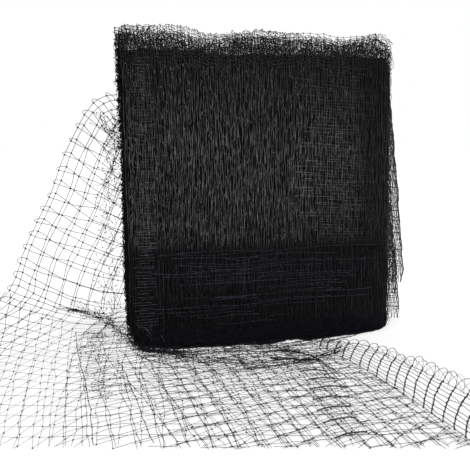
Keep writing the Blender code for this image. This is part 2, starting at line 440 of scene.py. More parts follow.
# a gathered layer of net that passes over a fold at the head, or under one at the foot
def foldedNet(parts, rng, depth, **changes):
    fold = {**folds, **changes}
    columns = fold["columns"]
    radius = fold["radius"]
    strand = fold["strand"]
    mesh = net["mesh"]
    rows = int((fold["back"] + fold["front"]) / mesh) + 1
    number = np.arange(rows)[:, None]
    share = (np.arange(columns) + 0.5) / columns
    alternate = (-1.0) ** (number + np.arange(columns))
    lens = wander(rng, rows, columns, fold["waver"], fold["rough"]) + fold["lens"] * alternate
    share = share + lens / pack["width"]
    stagger = rng.normal(0, fold["stagger"], columns)
    for column in range(1, columns):
        stagger[column] += fold["follows"] * stagger[column - 1]
    way = number * mesh - fold["front"] + stagger
    way = way + wander(rng, rows, columns, *fold["drift"]) + rng.uniform(0, mesh)
    uneven = np.sin(math.tau * (fold["waves"] * share[0] + rng.uniform()))
    uneven = uneven + 0.8 * np.sin(math.tau * (fold["waves"] * 2.7 * share[0] + rng.uniform()))
    drop = fold["drop"] * np.interp(share.mean(0), *fold["dropAt"]) + fold["uneven"] * uneven
    drop = drop + rng.normal(0, fold["ragged"], columns)
    deep = wander(rng, rows, columns, *fold["deep"])

    def place(share, way, drop, deep):
        angle = np.clip(way / radius, -math.pi / 2, math.pi / 2)
        fall = drop + radius * (1 - np.cos(angle)) + np.maximum(np.abs(way) - math.pi * radius / 2, 0)
        height = footHeight(share) + fall if fold["foot"] else headHeight(share) - hollow(share) - fall
        return packPoint(share, depth + radius * np.sin(angle) + deep, np.maximum(height, pack["foot"]))

    fields = [share, way, np.broadcast_to(drop, way.shape), deep]
    addTubes(parts, place(*(smoothed(field, 3) for field in fields)).swapaxes(0, 1), strand, upFacing)
    addKnots(parts, place(*fields), fold["knot"])
    # the slack strands between neighbours hang as hairpins
    starts = [field[:, :-1] for field in fields]
    ends = [field[:, 1:] for field in fields]
    size = starts[0].shape
    keep = rng.uniform(size=size) < fold["hairpins"]
    sag = rng.uniform(*fold["sag"], size)
    sag = sag * np.where(rng.uniform(size=size) < fold["upwards"], -1, 1) * np.sign(starts[1])
    aside = rng.normal(0, fold["lean"], size) / pack["width"]
    slack = (aside, sag, 0.0, rng.uniform(*fold["slack"], size))
    lowest = rng.uniform(0.1, 0.9, size)
    points = []
    bend = ((0.0, 0.0), (lowest * 0.55, 0.6), (lowest, 1.0), (1 - (1 - lowest) * 0.55, 0.6), (1.0, 0.0))
    for part, fall in bend:
        points.append(place(*(a + (b - a) * part + fall * loose for a, b, loose in zip(starts, ends, slack))))
    addTubes(parts, np.stack(points, axis=2)[keep], strand, (0.0, 1.0, 0.2))
    # strands that run along the fold, from one side of the pack to the other
    if fold["rails"]:
        rails = np.array(fold["rails"])[:, None] + wander(rng, len(fold["rails"]), columns, 0.0006, 0.0004)
        shares = share.mean(0) + rng.normal(0, 0.0005, rails.shape) / pack["width"]
        fields = (shares, rails, np.broadcast_to(drop, rails.shape), rng.normal(0, 0.0008, rails.shape))
        addKnots(parts, place(*fields), fold["knot"] * 1.25)
        lines = place(*(smoothed(field.T, 2) for field in fields))
        addTubes(parts, lines.swapaxes(0, 1), strand, (0.0, 0.3, 1.0))


fullHeight = pack["height"] - pack["foot"] - 0.004
headRails = (-0.022, -0.018, -0.014, -0.0105, -0.007, -0.0035, 0.0, 0.0035)
headLayer = {"front": 0.034, "back": 0.026, "radius": 0.004, "rails": headRails[::2], "hairpins": 0.7,
             "columns": 78, "strand": 0.00022, "lean": 0.0035,
             "dropAt": ((0, 0.1, 0.22, 0.38, 1), (1, 1.3, 1.7, 1, 1))}
footLayer = {"front": 0.02, "back": 0.02, "drop": 0.001, "uneven": 0.001, "foot": True, "columns": 60}
# name, seed, material and layers of each folded piece; a seed of None goes on with the last one's draws
foldedFront = (
    ("packFrontMiddle", 11, middleMaterial, (
        {"depth": 0.0003, "front": fullHeight, "back": 0.03, "drop": 0.0007, "uneven": 0.0005,
         "ragged": 0.0010, "rails": (-0.021, -0.016, -0.0115, -0.008, -0.005, -0.0028), "hairpins": 0.55,
         "columns": 104, "strand": 0.00020, "waver": 0.0009, "lean": 0.0030},
    )),
    ("packFrontInner", None, shadedPackMaterial, (
        {"depth": 0.003, "front": fullHeight, "back": 0.01, "drop": 0.0088, "uneven": 0.0006,
         "ragged": 0.0012, "rails": headRails, "hairpins": 0.75, "columns": 84,
         "dropAt": ((0, 0.1, 0.22, 0.38, 0.6, 1), (0.9, 1.2, 1.55, 0.95, 0.7, 0.7))},
    )),
    ("packFrontOuter", None, frontMaterial, (
        {"depth": -0.0015, "front": fullHeight, "back": 0.02, "drop": 0.016, "uneven": 0.0005,
         "ragged": 0.0012, "rails": headRails, "hairpins": 0.35, "columns": 136,
         "strand": 0.00019, "knot": 0.0005, "waver": 0.0006, "rough": 0.0004,
         "dropAt": ((0, 0.1, 0.22, 0.38, 1), (1.1, 1.15, 1.3, 1.0, 1.0))},
    )),
    ("packBack", 12, strandMaterial, (
        {"depth": pack["depth"] + 0.001, "front": 0.03, "back": fullHeight, "drop": 0.006, "columns": 64},
    )),
    ("packHead", 13, strandMaterial, (
        {**headLayer, "depth": 0.010, "drop": 0.0030, "uneven": 0.0010},
        {**headLayer, "depth": 0.021, "drop": 0.0080, "uneven": 0.0015},
        {**headLayer, "depth": 0.033, "drop": 0.0010, "uneven": 0.0008},
        {**headLayer, "depth": 0.046, "drop": 0.0100, "uneven": 0.0020},
        {**headLayer, "depth": 0.059, "drop": 0.0050, "uneven": 0.0015},
    )),
)
footDepths = (0.018, 0.034, 0.050, 0.066)
foldedFoot = (("packFoot", 14, shadedPackMaterial, [{**footLayer, "depth": depth} for depth in footDepths]),)


def makeFolded(table):
    for name, seed, material, layers in table:
        rng = np.random.default_rng(seed) if seed else rng
        parts = []
        for settings in layers:
            foldedNet(parts, rng, **settings)
        makePiece(name, parts, material)


makeFolded(foldedFront)

# the slack between the folds at the head, which curls every way and closes the gaps downwards
headCurls = (
    {"count": 760, "length": (0.005, 0.011), "curl": 1.3, "strand": 0.00026, "start": 0.0008,
     "deepest": 0.015, "power": 0.65, "above": 0.0, "knot": 0.0010, "knots": 0.6, "shy": 0.0},
    # small loops that stand up along the outline
    {"count": 220, "length": (0.004, 0.008), "curl": 2.2, "strand": 0.00022, "start": 0.0, "deepest": 0.003,
     "power": 1.0, "above": 0.0012, "knot": 0.0007, "knots": 0.4, "shy": 0.95},
)
curling = {"hollow": 2.0, "uneven": (0.7, 1.2), "lies": 0.5, "ceiling": (-0.0006, 0.0001), "beyond": 0.002,
           "front": -0.003, "facing": (0.3, 1.0, 0.2)}
rng = np.random.default_rng(27)
parts = []
for curls in headCurls:
    count = curls["count"]
    share, depth = rng.uniform(0, 1, (2, count))
    down = curls["start"] + rng.uniform(0, 1, count) ** curls["power"] * curls["deepest"]
    down = down + hollow(share) * curling["hollow"] * rng.uniform(*curling["uneven"], count)
    middle = packPoint(share, depth * pack["depth"], headHeight(share) - down)
    turn = rng.uniform(0, math.tau, count)[:, None]
    lies = curling["lies"] * np.sign(rng.normal(size=count))[:, None]
    length = rng.uniform(*curls["length"], count)
    angle = turn + rng.normal(0, curls["curl"], count)[:, None] * np.linspace(-1, 1, 5)
    ways = np.stack([np.cos(angle), np.sin(angle + 1.0) * lies, np.sin(angle)], axis=-1)
    points = walked(middle, ways, length)
    ceiling = headHeight((points[..., 0] + pack["lean"]) / pack["width"] + 0.5)
    least, most = curling["ceiling"]
    ceiling = ceiling + rng.uniform(least, most + curls["above"], (count, 1))
    points[..., 2] = np.minimum(points[..., 2], ceiling)
    left = -pack["width"] / 2 - pack["lean"] - curling["beyond"]
    points[..., 0] = np.clip(points[..., 0], left, left + pack["width"] + 2 * curling["beyond"])
    points[..., 1] = np.maximum(points[..., 1], curling["front"])
    points = points[rng.uniform(size=count) > curls["shy"] * hollow(share) / pack["hollow"][2]]
    addTubes(parts, points, curls["strand"], curling["facing"])
    addKnots(parts, points[rng.uniform(size=len(points)) < curls["knots"]][:, 2], curls["knot"])
makePiece("packHeadCurls", parts, strandMaterial)

# one row of meshes that stands above the hollow in the head: places, and depth and lift of each layer
headRow = {"shares": (0.50, 0.95, 0.026), "layers": ((0.004, 0.0), (0.02, -0.0015)), "tall": 0.013,
           "knot": 0.0011, "aside": 0.001, "uneven": 0.0003, "footAside": 0.002, "bend": 0.0004}
rng = np.random.default_rng(17)
parts = []
shares = np.arange(*headRow["shares"])
shares = shares + rng.normal(0, headRow["aside"], len(shares))
for depth, lift in headRow["layers"]:
    high = headHeight(shares) + lift + rng.normal(0, headRow["uneven"], len(shares))
    knots = packPoint(shares, depth, high)
    addTubes(parts, smoothed(knots, 3)[None], facing=(0.0, 0.3, 1.0))
    addKnots(parts, knots, headRow["knot"])
    lowShares = shares + rng.normal(0, headRow["footAside"], len(shares))
    low = packPoint(lowShares, depth, high - headRow["tall"])
    middle = (knots + low) / 2 + rng.normal(0, headRow["bend"], knots.shape)
    addTubes(parts, np.stack([knots, middle, low], axis=1))
makePiece("packHeadRow", parts, strandMaterial)

makeFolded(foldedFoot)

# flat net on the face: rows and uprights close together, because each layer lies a little aside
faceNets = {
    "right": {"shares": (0.60, 0.94), "heights": (0.115, 0.327), "pitch": (0.0034, 0.0055), "ragged": 0.7,
              "slope": -0.006},
    "low": {"shares": (0.06, 0.97), "heights": (0.045, 0.114), "pitch": (0.0034, 0.0052), "ragged": 1.1},
    "foot": {"shares": (0.03, 0.98), "heights": (0.004, 0.050), "pitch": (0.0044, 0.0150), "ragged": 1.1,
             "slope": 0.004},
    "drawn": {"shares": (0.20, 0.56), "heights": (0.058, 0.102), "pitch": (0.0140, 0.0034), "ragged": 0.9},
    "leftHigh": {"shares": (0.026, 0.108), "heights": (0.110, 0.325), "pitch": (0.0031, 0.0050),
                 "ragged": 0.8},
    "leftLow": {"shares": (0.016, 0.100), "heights": (0.020, 0.150), "pitch": (0.0034, 0.0200),
                "ragged": 0.55},
}
facePieces = (
    ("packFaceBright", ("right",), sheenFaceMaterial),
    ("packFaceLadder", ("leftHigh", "leftLow"), sheenLadderMaterial),
    ("packFaceDim", ("low", "foot", "drawn"), dimSheenFaceMaterial),
)
faceStrands = {"depth": -0.0032, "uneven": 0.0008, "row": 0.00021, "upright": 0.00017, "knot": 0.0006,
               "knots": 0.25, "waver": (0.0006, 0.0002)}


# depths of some strands on the face
def faceDepths(rng, count):
    uneven = faceStrands["uneven"]
    return faceStrands["depth"] + rng.uniform(-uneven, uneven, count)[:, None]


# uneven stretches from near one limit to near the other, in steps
def stretches(rng, count, limits, ragged, steps):
    low, high = limits
    starts = low + rng.uniform(0, ragged, count) * (high - low)
    ends = high - rng.uniform(0, ragged, count) * (high - low)
    return starts[:, None] + (ends - starts)[:, None] * np.linspace(0, 1, steps)


def faceNet(parts, rng, shares, heights, pitch, ragged, slope=0.0):
    left, right = shares
    low, high = heights
    width = (right - left) * pack["width"]
    rows = int((high - low) / pitch[0])
    height = low + (np.arange(rows) + rng.uniform(-0.2, 0.2, rows)) * pitch[0]
    steps = max(int(width / 0.007), 6)
    share = stretches(rng, rows, shares, 0.6 * ragged, steps)
    height = height[:, None] + slope * (share - left) / (right - left)
    height = height + wander(rng, rows, steps, *faceStrands["waver"])
    points = packPoint(share, faceDepths(rng, rows), height)
    addTubes(parts, points, faceStrands["row"], levelFacing)
    addKnots(parts, points[rng.uniform(size=share.shape) < faceStrands["knots"]], faceStrands["knot"])
    uprights = int(width / pitch[1])
    share = left + (np.arange(uprights) + rng.uniform(-0.25, 0.25, uprights)) / uprights * (right - left)
    steps = max(int((high - low) / 0.008), 4)
    height = stretches(rng, uprights, heights, 0.45, steps)
    share = share[:, None] + wander(rng, uprights, steps, *faceStrands["waver"]) / pack["width"]
    points = packPoint(share, faceDepths(rng, uprights), height)
    addTubes(parts, points, faceStrands["upright"], upFacing)


rng = np.random.default_rng(18)
for name, areas, material in facePieces:
    parts = []
    for area in areas:
        faceNet(parts, rng, **faceNets[area])
    makePiece(name, parts, material)

# short strands that stand a little proud of the face and catch the light
glints = {"count": 900, "shares": (0.85, 1.5), "reach": 0.86, "start": 0.015, "heights": (0.116, 0.318),
          "length": (0.0012, 0.0045), "depth": -0.0030, "uneven": 0.0006, "lean": (0.0010, 0.0002),
          "strand": 0.00022}
rng = np.random.default_rng(34)
count = glints["count"]
share = rng.beta(*glints["shares"], count)[:, None] * glints["reach"] + glints["start"]
middle = rng.uniform(*glints["heights"], count)[:, None]
rise = np.linspace(-0.5, 0.5, 4)
height = middle + rng.uniform(*glints["length"], count)[:, None] * rise
lean, rough = glints["lean"]
lean = rng.normal(0, lean, count)[:, None] * rise + rng.normal(0, rough, (count, len(rise)))
deep = glints["depth"] + rng.uniform(-glints["uneven"], glints["uneven"], count)[:, None]
parts = []
addTubes(parts, packPoint(share + lean / pack["width"], deep, height), glints["strand"], upFacing)
makePiece("packFaceGlints", parts, glintMaterial)

# the foot of the front layers, drawn out on the floor in close lines
lip = {"lines": 26, "columns": 110, "shares": (0.02, 0.985), "aside": 0.0006, "rim": 1.12, "power": 0.8,
       "furthest": 1.2, "knots": 0.4, "knot": 0.0007, "waver": (0.03, 0.020), "uneven": 0.0018}
# the drawn strands that come down on to it
drawn = {"count": 150, "steps": 7, "shares": (0.02, 0.98), "drift": (0.003, 0.6), "rim": 1.1,
         "reach": (0.7, 1.1), "lift": 0.0004}
rng = np.random.default_rng(19)
size = (lip["lines"], lip["columns"])
share = np.linspace(*lip["shares"], lip["columns"]) + rng.normal(0, lip["aside"], size)
part = np.linspace(0, 1, lip["lines"])[:, None] ** lip["power"] * lip["rim"]
part = part + wander(rng, *size, *lip["waver"])
points = lipPoint(share, np.clip(part, 0, lip["furthest"]), 0.0)
points[..., 2] += rng.uniform(0, lip["uneven"], size)
parts = []
addTubes(parts, aboveFloor(points), facing=(0.0, 0.2, 1.0))
addKnots(parts, points[rng.uniform(size=size) < lip["knots"]], lip["knot"])
count, steps = drawn["count"], drawn["steps"]
drift, part = drawn["drift"]
share = rng.uniform(*drawn["shares"], count)[:, None]
share = share + rng.normal(0, drift, (count, steps)).cumsum(axis=1) * part
part = np.linspace(0, drawn["rim"], steps) * rng.uniform(*drawn["reach"], (count, 1))
addTubes(parts, lipPoint(share, part, drawn["lift"]), facing=(1.0, 0.2, 0.0))
makePiece("packLip", parts, shadedLipMaterial)

# a few loose ends that stand out from the face: share, lowest and highest place, bend
looseEnds = {
    "ends": ((0.046, 0.025, 0.015, 0.007), (0.052, 0.022, 0.013, 0.006), (0.056, 0.016, 0.008, 0.005),
             (0.105, 0.014, 0.004, 0.003), (0.112, 0.010, 0.003, 0.002), (0.150, 0.012, 0.005, 0.003)),
    "out": (0.004, 0.006), "strand": 0.00024, "turn": 2.2,
}
parts = []
rise = np.linspace(0, 1, 9)
deep = -looseEnds["out"][0] - looseEnds["out"][1] * np.sin(math.pi * rise)
for share, low, high, bend in looseEnds["ends"]:
    aside = bend * np.sin(looseEnds["turn"] * rise) / pack["width"]
    points = packPoint(share + aside, deep, low + (high - low) * rise)
    addTubes(parts, points[None], looseEnds["strand"], upFacing)
makePiece("packLooseEnds", parts, sheenLadderMaterial)

# the margins of the layers, with the loops where the doubled net turns round
margins = {"layers": 36, "rows": 19, "reach": (0.0015, 0.0040), "tall": (0.004, 0.008), "swing": 0.0015,
           "waver": (0.0008, 0.0005), "uneven": 0.0008, "setIn": 0.0012, "inner": 0.03, "slant": 0.004}
# depth of each outermost row of knots at the left, and how far it stands clear of the edge
edgeRows = {"rows": ((-0.001, 0.0026), (0.007, 0.0032)), "pitch": 0.0053, "strand": 0.0003, "knot": 0.0012,
            "inner": 0.0002, "uneven": 0.0005}


def makeMargin(parts, rng, share, outwards):
    layers, rows = size = margins["layers"], margins["rows"]
    deep = (np.arange(layers) + 0.5)[:, None] / layers * (pack["depth"] + 0.002) - 0.001
    start = rng.uniform(0, 1, layers)[:, None]
    low = footHeight(share) - 0.001
    high = headHeight(share) - 0.004
    height = low + (np.arange(rows) + start) / rows * (high - low)
    shift = wander(rng, *size, *margins["waver"]) + rng.normal(0, margins["uneven"], layers)[:, None]
    shares = share + outwards * (shift - margins["setIn"]) / pack["width"]
    deep = deep + rng.normal(0, 0.0005, size)
    knots = packPoint(shares, deep, height)
    addTubes(parts, smoothed(knots.swapaxes(0, 1), 2).swapaxes(0, 1), facing=(0.2, 1.0, 0.0))
    addKnots(parts, knots)
    reach = outwards * rng.uniform(*margins["reach"], size) / pack["width"]
    tall = rng.uniform(*margins["tall"], size)
    swing = rng.normal(0, margins["swing"], size)
    loop = []
    for angle in np.linspace(0, math.pi, 6):
        level = np.minimum(height + tall * (1 - math.cos(angle)) / 2, high)
        loop.append(packPoint(shares + reach * math.sin(angle), deep + swing * math.sin(angle), level))
    addTubes(parts, np.stack(loop, axis=2).reshape(-1, 6, 3), facing=levelFacing)
    # strands that run into the pack from each loop
    for ends in (loop[-1], knots):
        level = height + rng.normal(0, margins["slant"], size)
        inner = packPoint(share - outwards * margins["inner"], deep, level)
        addTubes(parts, np.stack([ends, inner], axis=2).reshape(-1, 2, 3), facing=levelFacing)


def makeEdgeRows(parts, rng):
    for depth, clear in edgeRows["rows"]:
        heights = np.arange(0.012, pack["height"] - 0.004, edgeRows["pitch"])
        count = len(heights)
        heights = heights + rng.normal(0, edgeRows["uneven"], count)
        away = -(clear + rng.normal(0, edgeRows["uneven"], count)) / pack["width"]
        knots = packPoint(away, depth, heights)
        addTubes(parts, knots[None], edgeRows["strand"], (0.0, 1.0, 0.0))
        addKnots(parts, knots, edgeRows["knot"])
        inner = packPoint(away + 0.008 / pack["width"], depth, heights + rng.normal(0, 0.002, count))
        addTubes(parts, np.stack([knots, inner], axis=1), edgeRows["inner"], (0.0, 1.0, 0.0))


rng = np.random.default_rng(15)
parts = []
makeMargin(parts, rng, 0.0, -1)
makeEdgeRows(parts, rng)
makePiece("packLeftSide", parts, shadedPackMaterial)
parts = []
makeMargin(parts, rng, 1.0, 1)
makePiece("packRightSide", parts, strandMaterial)

# margins of some layers that hang out at the right, cut and frayed at the foot: x and z of their
# free edge, at the top and at the foot
flaps = (
    {"depth": 0.003, "top": (0.1515, 0.322), "foot": (0.1862, 0.072), "uprights": 14, "tail": 0.016,
     "strand": 0.00040},
    {"depth": 0.010, "top": (0.149, 0.300), "foot": (0.181, 0.060), "uprights": 10, "tail": 0.020,
     "strand": 0.00036},
    {"depth": 0.017, "top": (0.150, 0.290), "foot": (0.1905, 0.016), "uprights": 15, "tail": 0.012,
     "strand": 0.00036},
)
flapNet = {"inner": 0.146, "pitch": 0.0026, "waver": (0.0007, 0.0004), "droop": (0.0005, 0.003),
           "fray": 0.0012, "rows": 0.85, "edge": 2.0, "upright": 1.25, "knots": 0.5, "knot": 0.0010,
           "rowShift": 0.3, "closer": 0.55, "deep": (0.001, 0.0004), "uneven": 0.0004, "lowest": 0.002}
rng = np.random.default_rng(16)
parts = []
for flap in flaps:
    topX, topZ = flap["top"]
    footX, footZ = flap["foot"]
    tall = topZ - footZ
    rows, uprights = size = int(tall / flapNet["pitch"]), flap["uprights"]
    number = np.arange(rows) + rng.uniform(-flapNet["rowShift"], flapNet["rowShift"], rows)
    heights = topZ - number * tall / rows
    edge = topX + (footX - topX) * ((topZ - heights) / tall).clip(0, 1)
    part = np.linspace(0, 1, uprights) ** flapNet["closer"]
    across = flapNet["inner"] + (edge - flapNet["inner"])[:, None] * part
    across = across + wander(rng, *size, *flapNet["waver"]) * (1.15 - part)
    droop = rng.uniform(*flapNet["droop"], (rows, 1)) * part ** 2
    level = heights[:, None] - droop + rng.normal(0, flapNet["uneven"], size)
    knots = np.stack([across, flap["depth"] + wander(rng, *size, *flapNet["deep"]), level], axis=-1)
    addTubes(parts, knots[rng.uniform(size=rows) < flapNet["rows"]], flap["strand"], levelFacing)
    columns = knots.swapaxes(0, 1)
    tails = columns[:, -1:] + np.arange(1, 4)[:, None] * np.array([0.0, 0.0, -1.0]) * flap["tail"] / 3
    tails[..., 0] += rng.normal(0, flapNet["fray"], (uprights, 3)).cumsum(axis=1)
    tails = aboveFloor(tails, flapNet["lowest"])
    addTubes(parts, np.concatenate([columns, tails], axis=1), flap["strand"] * flapNet["upright"], upFacing)
    addTubes(parts, columns[-1:], flap["strand"] * flapNet["edge"], upFacing)
    addKnots(parts, knots[rng.uniform(size=size) < flapNet["knots"]], flapNet["knot"])
makePiece("packFlaps", parts, strandMaterial)
print("stage: the pack is made")

# the free end: shares of its width at the crease and the standing fold, and how its left side sags
spread = {"foot": 0.45, "base": 0.84, "sag": 1.7, "rollWidth": 0.042, "first": -1.0, "last": 12.0,
          "extra": 14}
# sections across the free end: its ridge at the left, where it meets the floor or hangs lowest, where
# the standing fold begins, and that fold's height
sections = inMetres([
    (-150, 84, 316, -120, 86, 262, 110, 82, 330, 0),
    (-163, 94, 298, -115, 98, 232, 100, 95, 280, 0),
    (-184, 100, 293, -108, 110, 200, 92, 108, 212, 0),
    (-206, 105, 275, -90, 122, 150, 86, 120, 140, 0),
    (-231, 112, 225, -78, 132, 75, 82, 130, 65, 0),
    (-258, 118, 164, -110, 130, 36, 78, 118, 20, 0),
    (-285, 124, 112, -150, 126, 14, 70, 95, 4, 0),
    (-297, 116, 77, -182, 108, 4, 60, 50, 0, 0),
    (-306, 100, 50, -200, 78, 2, 48, 0, 0, 0),
    (-321, 70, 31, -212, 30, 0, 56, -58, 0, 12),
    (-338, 20, 16, -213, -35, 0, 70, -106, 0, 23),
    (-335, -50, 6, -209, -92, 0, 79, -162, 0, 29),
    (-324, -122, 1, -204, -150, 0, 85, -216, 0, 33),
    (-312, -184, 0, -200, -208, 0, 90, -276, 0, 36),
])
beyond = sections[-1] + (sections[-1] - sections[-2]) * np.arange(1, spread["extra"] + 1)[:, None]
sections = np.concatenate([sections, beyond])


def sectionAt(place):
    place = np.asarray(place, float) - spread["first"]
    last = len(sections) - 1
    number = np.clip(np.floor(place), 0, last - 1).astype(int)
    part = np.clip(place - number, -1, 1)[..., None]
    values = curved(*(sections[np.clip(number + shift, 0, last)] for shift in (-1, 0, 1, 2)), part)
    return values[..., 0:3], values[..., 3:6], values[..., 6:9], np.maximum(values[..., 9], 0)


# a point of the free end, at a distance across it from its ridge, and its share of the whole width
def freePoint(across, place):
    ridge, foot, base = sectionAt(place)[:3]
    leftLength = np.linalg.norm(foot - ridge, axis=-1)
    left = across / leftLength
    middle = (across - leftLength) / np.linalg.norm(base - foot, axis=-1)
    onLeft = left <= 1
    leftPoint = ridge + (foot - ridge) * left[..., None]
    sag = np.clip(1 - left, 0, None) ** spread["sag"]
    leftPoint[..., 2] = foot[..., 2] + (ridge[..., 2] - foot[..., 2]) * sag
    point = np.where(onLeft[..., None], leftPoint, foot + (base - foot) * middle[..., None])
    right = spread["foot"] + (spread["base"] - spread["foot"]) * middle
    return aboveFloor(point, 0), np.where(onLeft, spread["foot"] * left, right)


# slow waves in the spread net, so that no line in it is straight
def rumple(point, rng, size, lift):
    moved = point.copy()
    for turn in range(6):
        wave = rng.uniform(-70, 70, 3)
        for axis, most in enumerate((size, size, lift)):
            moved[..., axis] += most / 3 * np.sin(point @ wave + rng.uniform(0, math.tau))
    return moved


# the strands and knots stand out more where the net rises, and at the right, than at the far left
thickness = {"risesBy": 0.03, "strand": (0.74, 0.78, 0.12, 0.18), "knot": (1.0, 0.75, 0.15)}


def freeStrand(points):
    onFloor, risen, atRight, atLeft = thickness["strand"]
    lifted = np.clip(points[..., 2] / thickness["risesBy"], 0, 1)
    left = np.clip((-0.19 - points[..., 0]) / 0.05, 0, 1)
    right = np.clip((points[..., 0] + 0.03) / 0.06, 0, 1)
    return net["strand"] * (onFloor + risen * lifted + (atRight * right - atLeft * left) * (1 - lifted))


def freeKnot(points):
    onFloor, risen, atRight = thickness["knot"]
    lifted = np.clip(points[..., 2] / thickness["risesBy"], 0, 1)
    right = np.clip((points[..., 0] + 0.16) / 0.10, 0, 1)
    return net["knot"] * (onFloor + risen * lifted + atRight * right * (1 - lifted))


ridgeFine = np.linspace(spread["first"], spread["last"] + spread["extra"] - 1, 1600)
ridgeWay = wayAlong(sectionAt(ridgeFine)[0])

layerDefaults = {
    "start": 0.0, "startSlope": 0.0, "shift": 0.0, "width": 0.62, "outer": 0, "skew": (6.0, 0.0),
    "jitter": 0.0007, "rumple": (0.0014, 0.0008), "lift": 0.0015, "behind": 0.0, "bow": 0.0004, "thick": 1.0,
    "leftUntil": None,
    "early": 0.0, "earlyWidth": 0.028,  # an extra turn next to the ridge
    "first": -1.0, "last": 12.0,
    # how fast the strands at the left and at the right turn to the front, at places along the net
    "places": (0, 5, 8, 12), "turns": ((-6.9, -6.9, 0, 0), (-6.9, -6.9, 0, 0)),
}


# knots of one layer of the free end: each strand across it starts on the ridge, or on a crease
def layerKnots(layer):
    mesh = net["mesh"]
    starts = np.arange(layer["shift"], ridgeWay[-1], mesh)
    place = np.interp(starts, ridgeWay, ridgeFine)
    skewFrom, slope = layer["skew"]
    skewed = np.clip(starts - np.interp(skewFrom, ridgeFine, ridgeWay), 0, None)
    across = -layer["outer"] * mesh - slope * skewed
    if layer["start"] > 0:
        ridge, foot = sectionAt(place)[:2]
        across = across + np.linalg.norm(foot - ridge, axis=-1) * layer["start"] / spread["foot"]
        across = across + layer["startSlope"] * (starts - np.interp(layer["first"], ridgeFine, ridgeWay))
    step = 0.001
    track = [(across, place)]
    for number in range(int(layer["width"] / step)):
        share = freePoint(across, place)[1]
        turns = (np.broadcast_to(turn, 4) for turn in layer["turns"])
        left, right = (np.interp(place, layer["places"], turn) for turn in turns)
        turn = left + (right - left) * np.clip((share - 0.35) / 0.2, 0, 1)
        turn = turn + (layer["early"] if number * step < layer["earlyWidth"] else 0.0)
        place = place + step * turn
        across = across + step
        track.append((across, place))
    across, place = np.array(track).swapaxes(0, 1)
    way = wayAlong(freePoint(across, place)[0])
    wanted = np.arange(int(way.max() / mesh) + 1) * mesh
    tables = (zip(way.T, rows.T) for rows in (across, place))
    return [np.array([np.interp(wanted, *pair, right=np.nan) for pair in table]) for table in tables]


# how far inside the net's outline a place is; it is outside below 0
def insideness(across, place, layer):
    share = freePoint(across, place)[1]
    sides = np.minimum((spread["base"] - share) * 12, (share + 0.0001) * 40)
    inside = np.minimum(np.minimum(layer["last"] - place, place - layer["first"]), sides)
    if layer["leftUntil"]:
        inside = np.minimum(inside, np.maximum(layer["leftUntil"] - place, (share - spread["foot"]) * 12))
    return inside


# the strands and knots of one layer; gives its first knots' places, and a way to its columns of knots
def layerStrands(parts, seed, **changes):
    layer = {**layerDefaults, **changes}
    rng = np.random.default_rng(seed)
    across, place = layerKnots(layer)
    good = np.isfinite(across)
    across, place = np.where(good, across, 9.0), np.where(good, place, 99.0)
    across = across + rng.normal(0, layer["jitter"], across.shape) * (np.arange(across.shape[1]) > 0)
    place = place + rng.normal(0, layer["jitter"] * 12, place.shape)

    def finished(across, place):
        point = freePoint(across, place)[0]
        moved = rumple(point, np.random.default_rng(seed + 100), *layer["rumple"])
        moved += (0, 0, layer["lift"])
        moved[..., 1] += layer["behind"] * np.clip(point[..., 2] / 0.05, 0, 1)
        return aboveFloor(moved, 0.0003)

    inside = np.where(good, insideness(across, place, layer), -1.0)
    knots = np.stack([across, place, inside, good], axis=-1)
    for axis in (0, 1):
        count = knots.shape[axis] - 1
        near, far = (np.take(knots, np.arange(count) + shift, axis) for shift in (0, 1))
        wanted = (near[..., 3] * far[..., 3] > 0) & (np.maximum(near[..., 2], far[..., 2]) > 0)
        near, far = near[wanted][:, None], far[wanted][:, None]
        # strands that leave the outline are cut there
        nearIn, farIn = near[..., 2], far[..., 2]
        cutStart = np.where(nearIn < 0, nearIn / (nearIn - farIn), 0.0)
        cutEnd = np.where(farIn < 0, nearIn / (nearIn - farIn), 1.0)
        part = (cutStart + (cutEnd - cutStart) * np.linspace(0, 1, 3))[..., None]
        way = near + (far - near) * part
        lines = finished(way[..., 0], way[..., 1])
        lines = lines + rng.normal(0, layer["bow"], (len(lines), 1, 3)) * (4 * part * (1 - part))
        lines = aboveFloor(lines, 0.0003)
        addTubes(parts, lines, freeStrand(lines) * layer["thick"], floorFacing)
    points = finished(across[inside > 0], place[inside > 0])
    addKnots(parts, points, freeKnot(points))
    return place[:, 0], lambda column: finished(across[:, column], place[:, column])


parts = []
upperPlace, upperColumn = layerStrands(
    parts, 21, shift=0.004, width=0.68, skew=(6.6, 0.14), outer=-0.20, early=-5.0, earlyWidth=0.06,
)
underPlace, underColumn = layerStrands(
    parts, 22, shift=-0.0055, width=0.70, skew=(6.6, 0.10), outer=-0.42, early=2.0, lift=0.0008, behind=0.005,
    leftUntil=7.4, turns=((-6.9, -6.9, -9, -9), (-8.5, -8.5, -6.4, -6.4)),
)
# loops where the doubled net turns round at the ridge
ridgeReach = 0.0060
rng = np.random.default_rng(5)
count = min(len(upperPlace), len(underPlace))
ok = (upperPlace[:count] < 8) & (upperPlace[:count] > 0.2) & (underPlace[:count] > 0.2)
upper, inner, under = (column[:count][ok] for column in (upperColumn(0), upperColumn(1), underColumn(0)))
out = unit(upper - inner) * ridgeReach * rng.uniform(0.8, 1.2, (len(upper), 1))
turns = np.linspace(0, math.pi, 8)
loops = [upper + (under - upper) * (1 - math.cos(turn)) / 2 + out * math.sin(turn) for turn in turns]
loops = aboveFloor(np.stack(loops, axis=1), 0.0003)
addTubes(parts, loops, freeStrand(loops), levelFacing)

